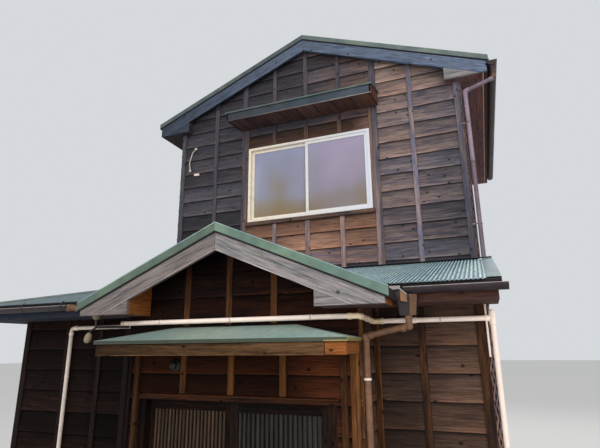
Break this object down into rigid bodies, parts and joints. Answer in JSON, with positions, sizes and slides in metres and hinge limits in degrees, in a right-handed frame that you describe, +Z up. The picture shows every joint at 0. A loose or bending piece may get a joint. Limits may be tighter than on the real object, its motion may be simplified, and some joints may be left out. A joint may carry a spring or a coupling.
{
  "type": "townhouse",
  "caption": "Old two-storey timber townhouse with a gable front, weathered board walls, a gabled porch with sliding lattice doors, green sheet roofs and lean-to wings",
  "frame": {"origin": "on the ground, under the middle of the porch's front wall face", "axes": "+X to the right seen from the front, +Y back into the house, +Z up"},
  "size_m": [5.741, 6.2, 6.44],
  "materials": {
    "concrete": "rough grey concrete",
    "wall_boards": "weathered dark brown cedar boards",
    "trim_boards": "weathered dark brown battens and boards",
    "barge_boards": "weathered grey boards with open grain",
    "eave_boards": "stained brown boards",
    "inner_timber": "planed timber",
    "door_timber": "worn timber",
    "lattice_wood": "pale weathered lattice",
    "door_glass": "dark glass behind the lattice",
    "window_aluminium": "white window frame, satin",
    "window_glass": "frosted glass",
    "roof_sheet": "green painted sheet, weathered",
    "lean_to_sheet": "green painted corrugated sheet, weathered",
    "canopy_sheet": "pale green painted flat sheet",
    "brown_gutter": "brown plastic, faded",
    "white_pipe": "off-white plastic pipe"
  },
  "bodies": {
    "house": {"footing": "concrete", "ground_floor": "concrete", "door_threshold": "door_timber", "door_frame": "door_timber", "porch_posts": "wall_boards", "porch_front_wall": "wall_boards", "porch_side_walls": "wall_boards", "front_wall_left": "wall_boards", "front_wall_right": "wall_boards", "left_wall": "wall_boards", "right_wall_front": "wall_boards", "right_wall": "wall_boards", "rear_wall": "wall_boards", "rear_wall_left": "wall_boards", "inner_posts": "inner_timber", "floor_beams": "inner_timber", "upper_floor": "inner_timber", "wall_left_of_window": "wall_boards", "wall_right_of_window": "wall_boards", "wall_under_window": "wall_boards", "upper_gable_wall": "wall_boards", "upper_left_wall": "wall_boards", "window_frame": "window_aluminium", "window_sashes": "window_aluminium", "window_glass": "window_glass", "window_sill": "trim_boards", "upper_battens": "trim_boards", "lower_battens": "trim_boards", "upper_canopy_roof": "roof_sheet", "upper_canopy_frame": "trim_boards", "lower_canopy_roof": "canopy_sheet", "lower_canopy_frame": "trim_boards", "main_roof": "roof_sheet", "main_barge_boards": "barge_boards", "main_eaves": "eave_boards", "porch_roof": "roof_sheet", "porch_barge_boards": "barge_boards", "porch_eaves": "eave_boards", "lean_to_roofs": "lean_to_sheet", "lean_to_eaves": "eave_boards", "ridge_caps": "roof_sheet", "gutters": "brown_gutter", "downpipes": "brown_gutter", "white_pipes": "white_pipe"},
    "door_left": {"door_left": "lattice_wood", "door_left_panel": "door_glass"},
    "door_right": {"door_right": "lattice_wood", "door_right_panel": "door_glass"}
  },
  "joints": [
    {"name": "door_left_slide", "type": "slide", "parent": "house", "child": "door_left", "axis": [1, 0, 0], "range_m": [0, 0.8]},
    {"name": "door_right_slide", "type": "slide", "parent": "house", "child": "door_right", "axis": [-1, 0, 0], "range_m": [0, 0.8]}
  ]
}
